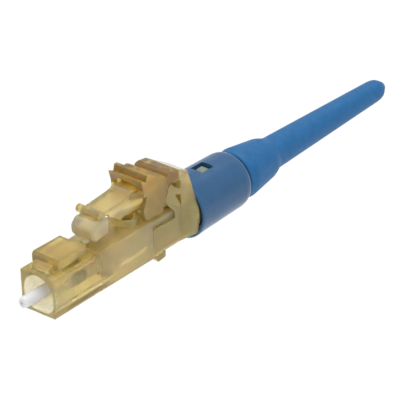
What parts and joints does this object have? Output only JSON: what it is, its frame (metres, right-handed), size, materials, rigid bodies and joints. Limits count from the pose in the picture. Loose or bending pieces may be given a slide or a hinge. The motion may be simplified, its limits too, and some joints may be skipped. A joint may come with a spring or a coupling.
{
  "type": "lc fibre connector",
  "caption": "Fibre connector with a spring-loaded ferrule in a square clear nose, a latch worked by a thumb trigger, a round rear barrel and a tapered strain-relief boot.",
  "frame": {"origin": "centre of the square nose's front face, on the ferrule's axis", "axes": "+Y runs back along the ferrule's axis to the boot (the mating direction is -Y), +Z is the latch side, +X completes the right-handed set"},
  "size_m": [0.007, 0.06, 0.0114],
  "materials": {
    "amber": "gloss",
    "zirconia": "polished",
    "nickel": "satin",
    "fibre_glass": "gloss",
    "holder_white": "satin",
    "splice_clear": "gloss",
    "spring_steel": "satin",
    "ivory": "satin",
    "tube_metal": "satin",
    "barrel_blue": "gloss",
    "boot_blue": "matte"
  },
  "bodies": {
    "connector": {"connector_housing": "amber", "trigger_collar": "amber", "rear_body": "ivory", "fibre_guide": "holder_white", "crimp_tube": "tube_metal", "rear_barrel": "barrel_blue", "boot": "boot_blue", "ferrule_spring": "spring_steel"},
    "latch": {"latch_arm": "amber"},
    "trigger": {"trigger_lever": "amber"},
    "ferrule_carriage": {"ferrule": "zirconia", "ferrule_flange": "nickel", "fibre_stub": "fibre_glass", "splice_holder": "holder_white", "splice_base": "splice_clear", "splice_cover": "splice_clear", "splice_clamp": "spring_steel"}
  },
  "joints": [
    {"name": "trigger_press", "type": "hinge", "parent": "connector", "child": "trigger", "pos_m": [0, 0.01975, 0.0056], "axis": [1, 0, 0], "range_deg": [0, 3.4], "stiffness_Nm_per_rad": 0.35},
    {"name": "latch_flex", "type": "hinge", "parent": "connector", "child": "latch", "pos_m": [0, 0.001, 0.00267], "axis": [1, 0, 0], "range_deg": [-5.4, 0]},
    {"name": "ferrule_float", "type": "slide", "parent": "connector", "child": "ferrule_carriage", "axis": [0, 1, 0], "range_m": [0, 0.001], "stiffness_N_per_m": 900, "deforming": ["ferrule_spring"]}
  ],
  "couplings": [
    {"joint": "latch_flex", "follows": "trigger_press", "ratio": -1.55}
  ]
}
